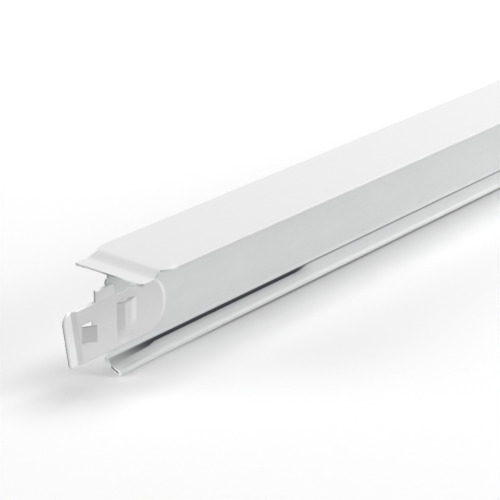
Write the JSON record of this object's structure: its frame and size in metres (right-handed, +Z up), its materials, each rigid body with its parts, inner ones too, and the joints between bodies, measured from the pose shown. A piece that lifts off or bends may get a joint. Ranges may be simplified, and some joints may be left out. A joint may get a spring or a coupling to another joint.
{
  "type": "ceiling grid cross tee",
  "caption": "Folded steel cross tee for a suspended ceiling grid, with a white hemmed face, hollow bulb, joggled lips and a lanced end clip at each end.",
  "frame": {"origin": "on the floor under the middle of the tee, which stands upside down on its bulb", "axes": "+X along the tee, away from the pictured end; +Z up, out of the visible white face; -Y towards the side of the web that the picture shows"},
  "size_m": [0.6216, 0.024, 0.028],
  "materials": {
    "galvanised_steel": "bright galvanised, satin",
    "white_paint": "matte white coil-coated paint",
    "clip_steel": "zinc plated, satin"
  },
  "bodies": {
    "root": {"tee_body": "galvanised_steel", "face_cap": "white_paint", "end_clip_left": "clip_steel", "end_clip_right": "clip_steel"}
  },
  "joints": []
}
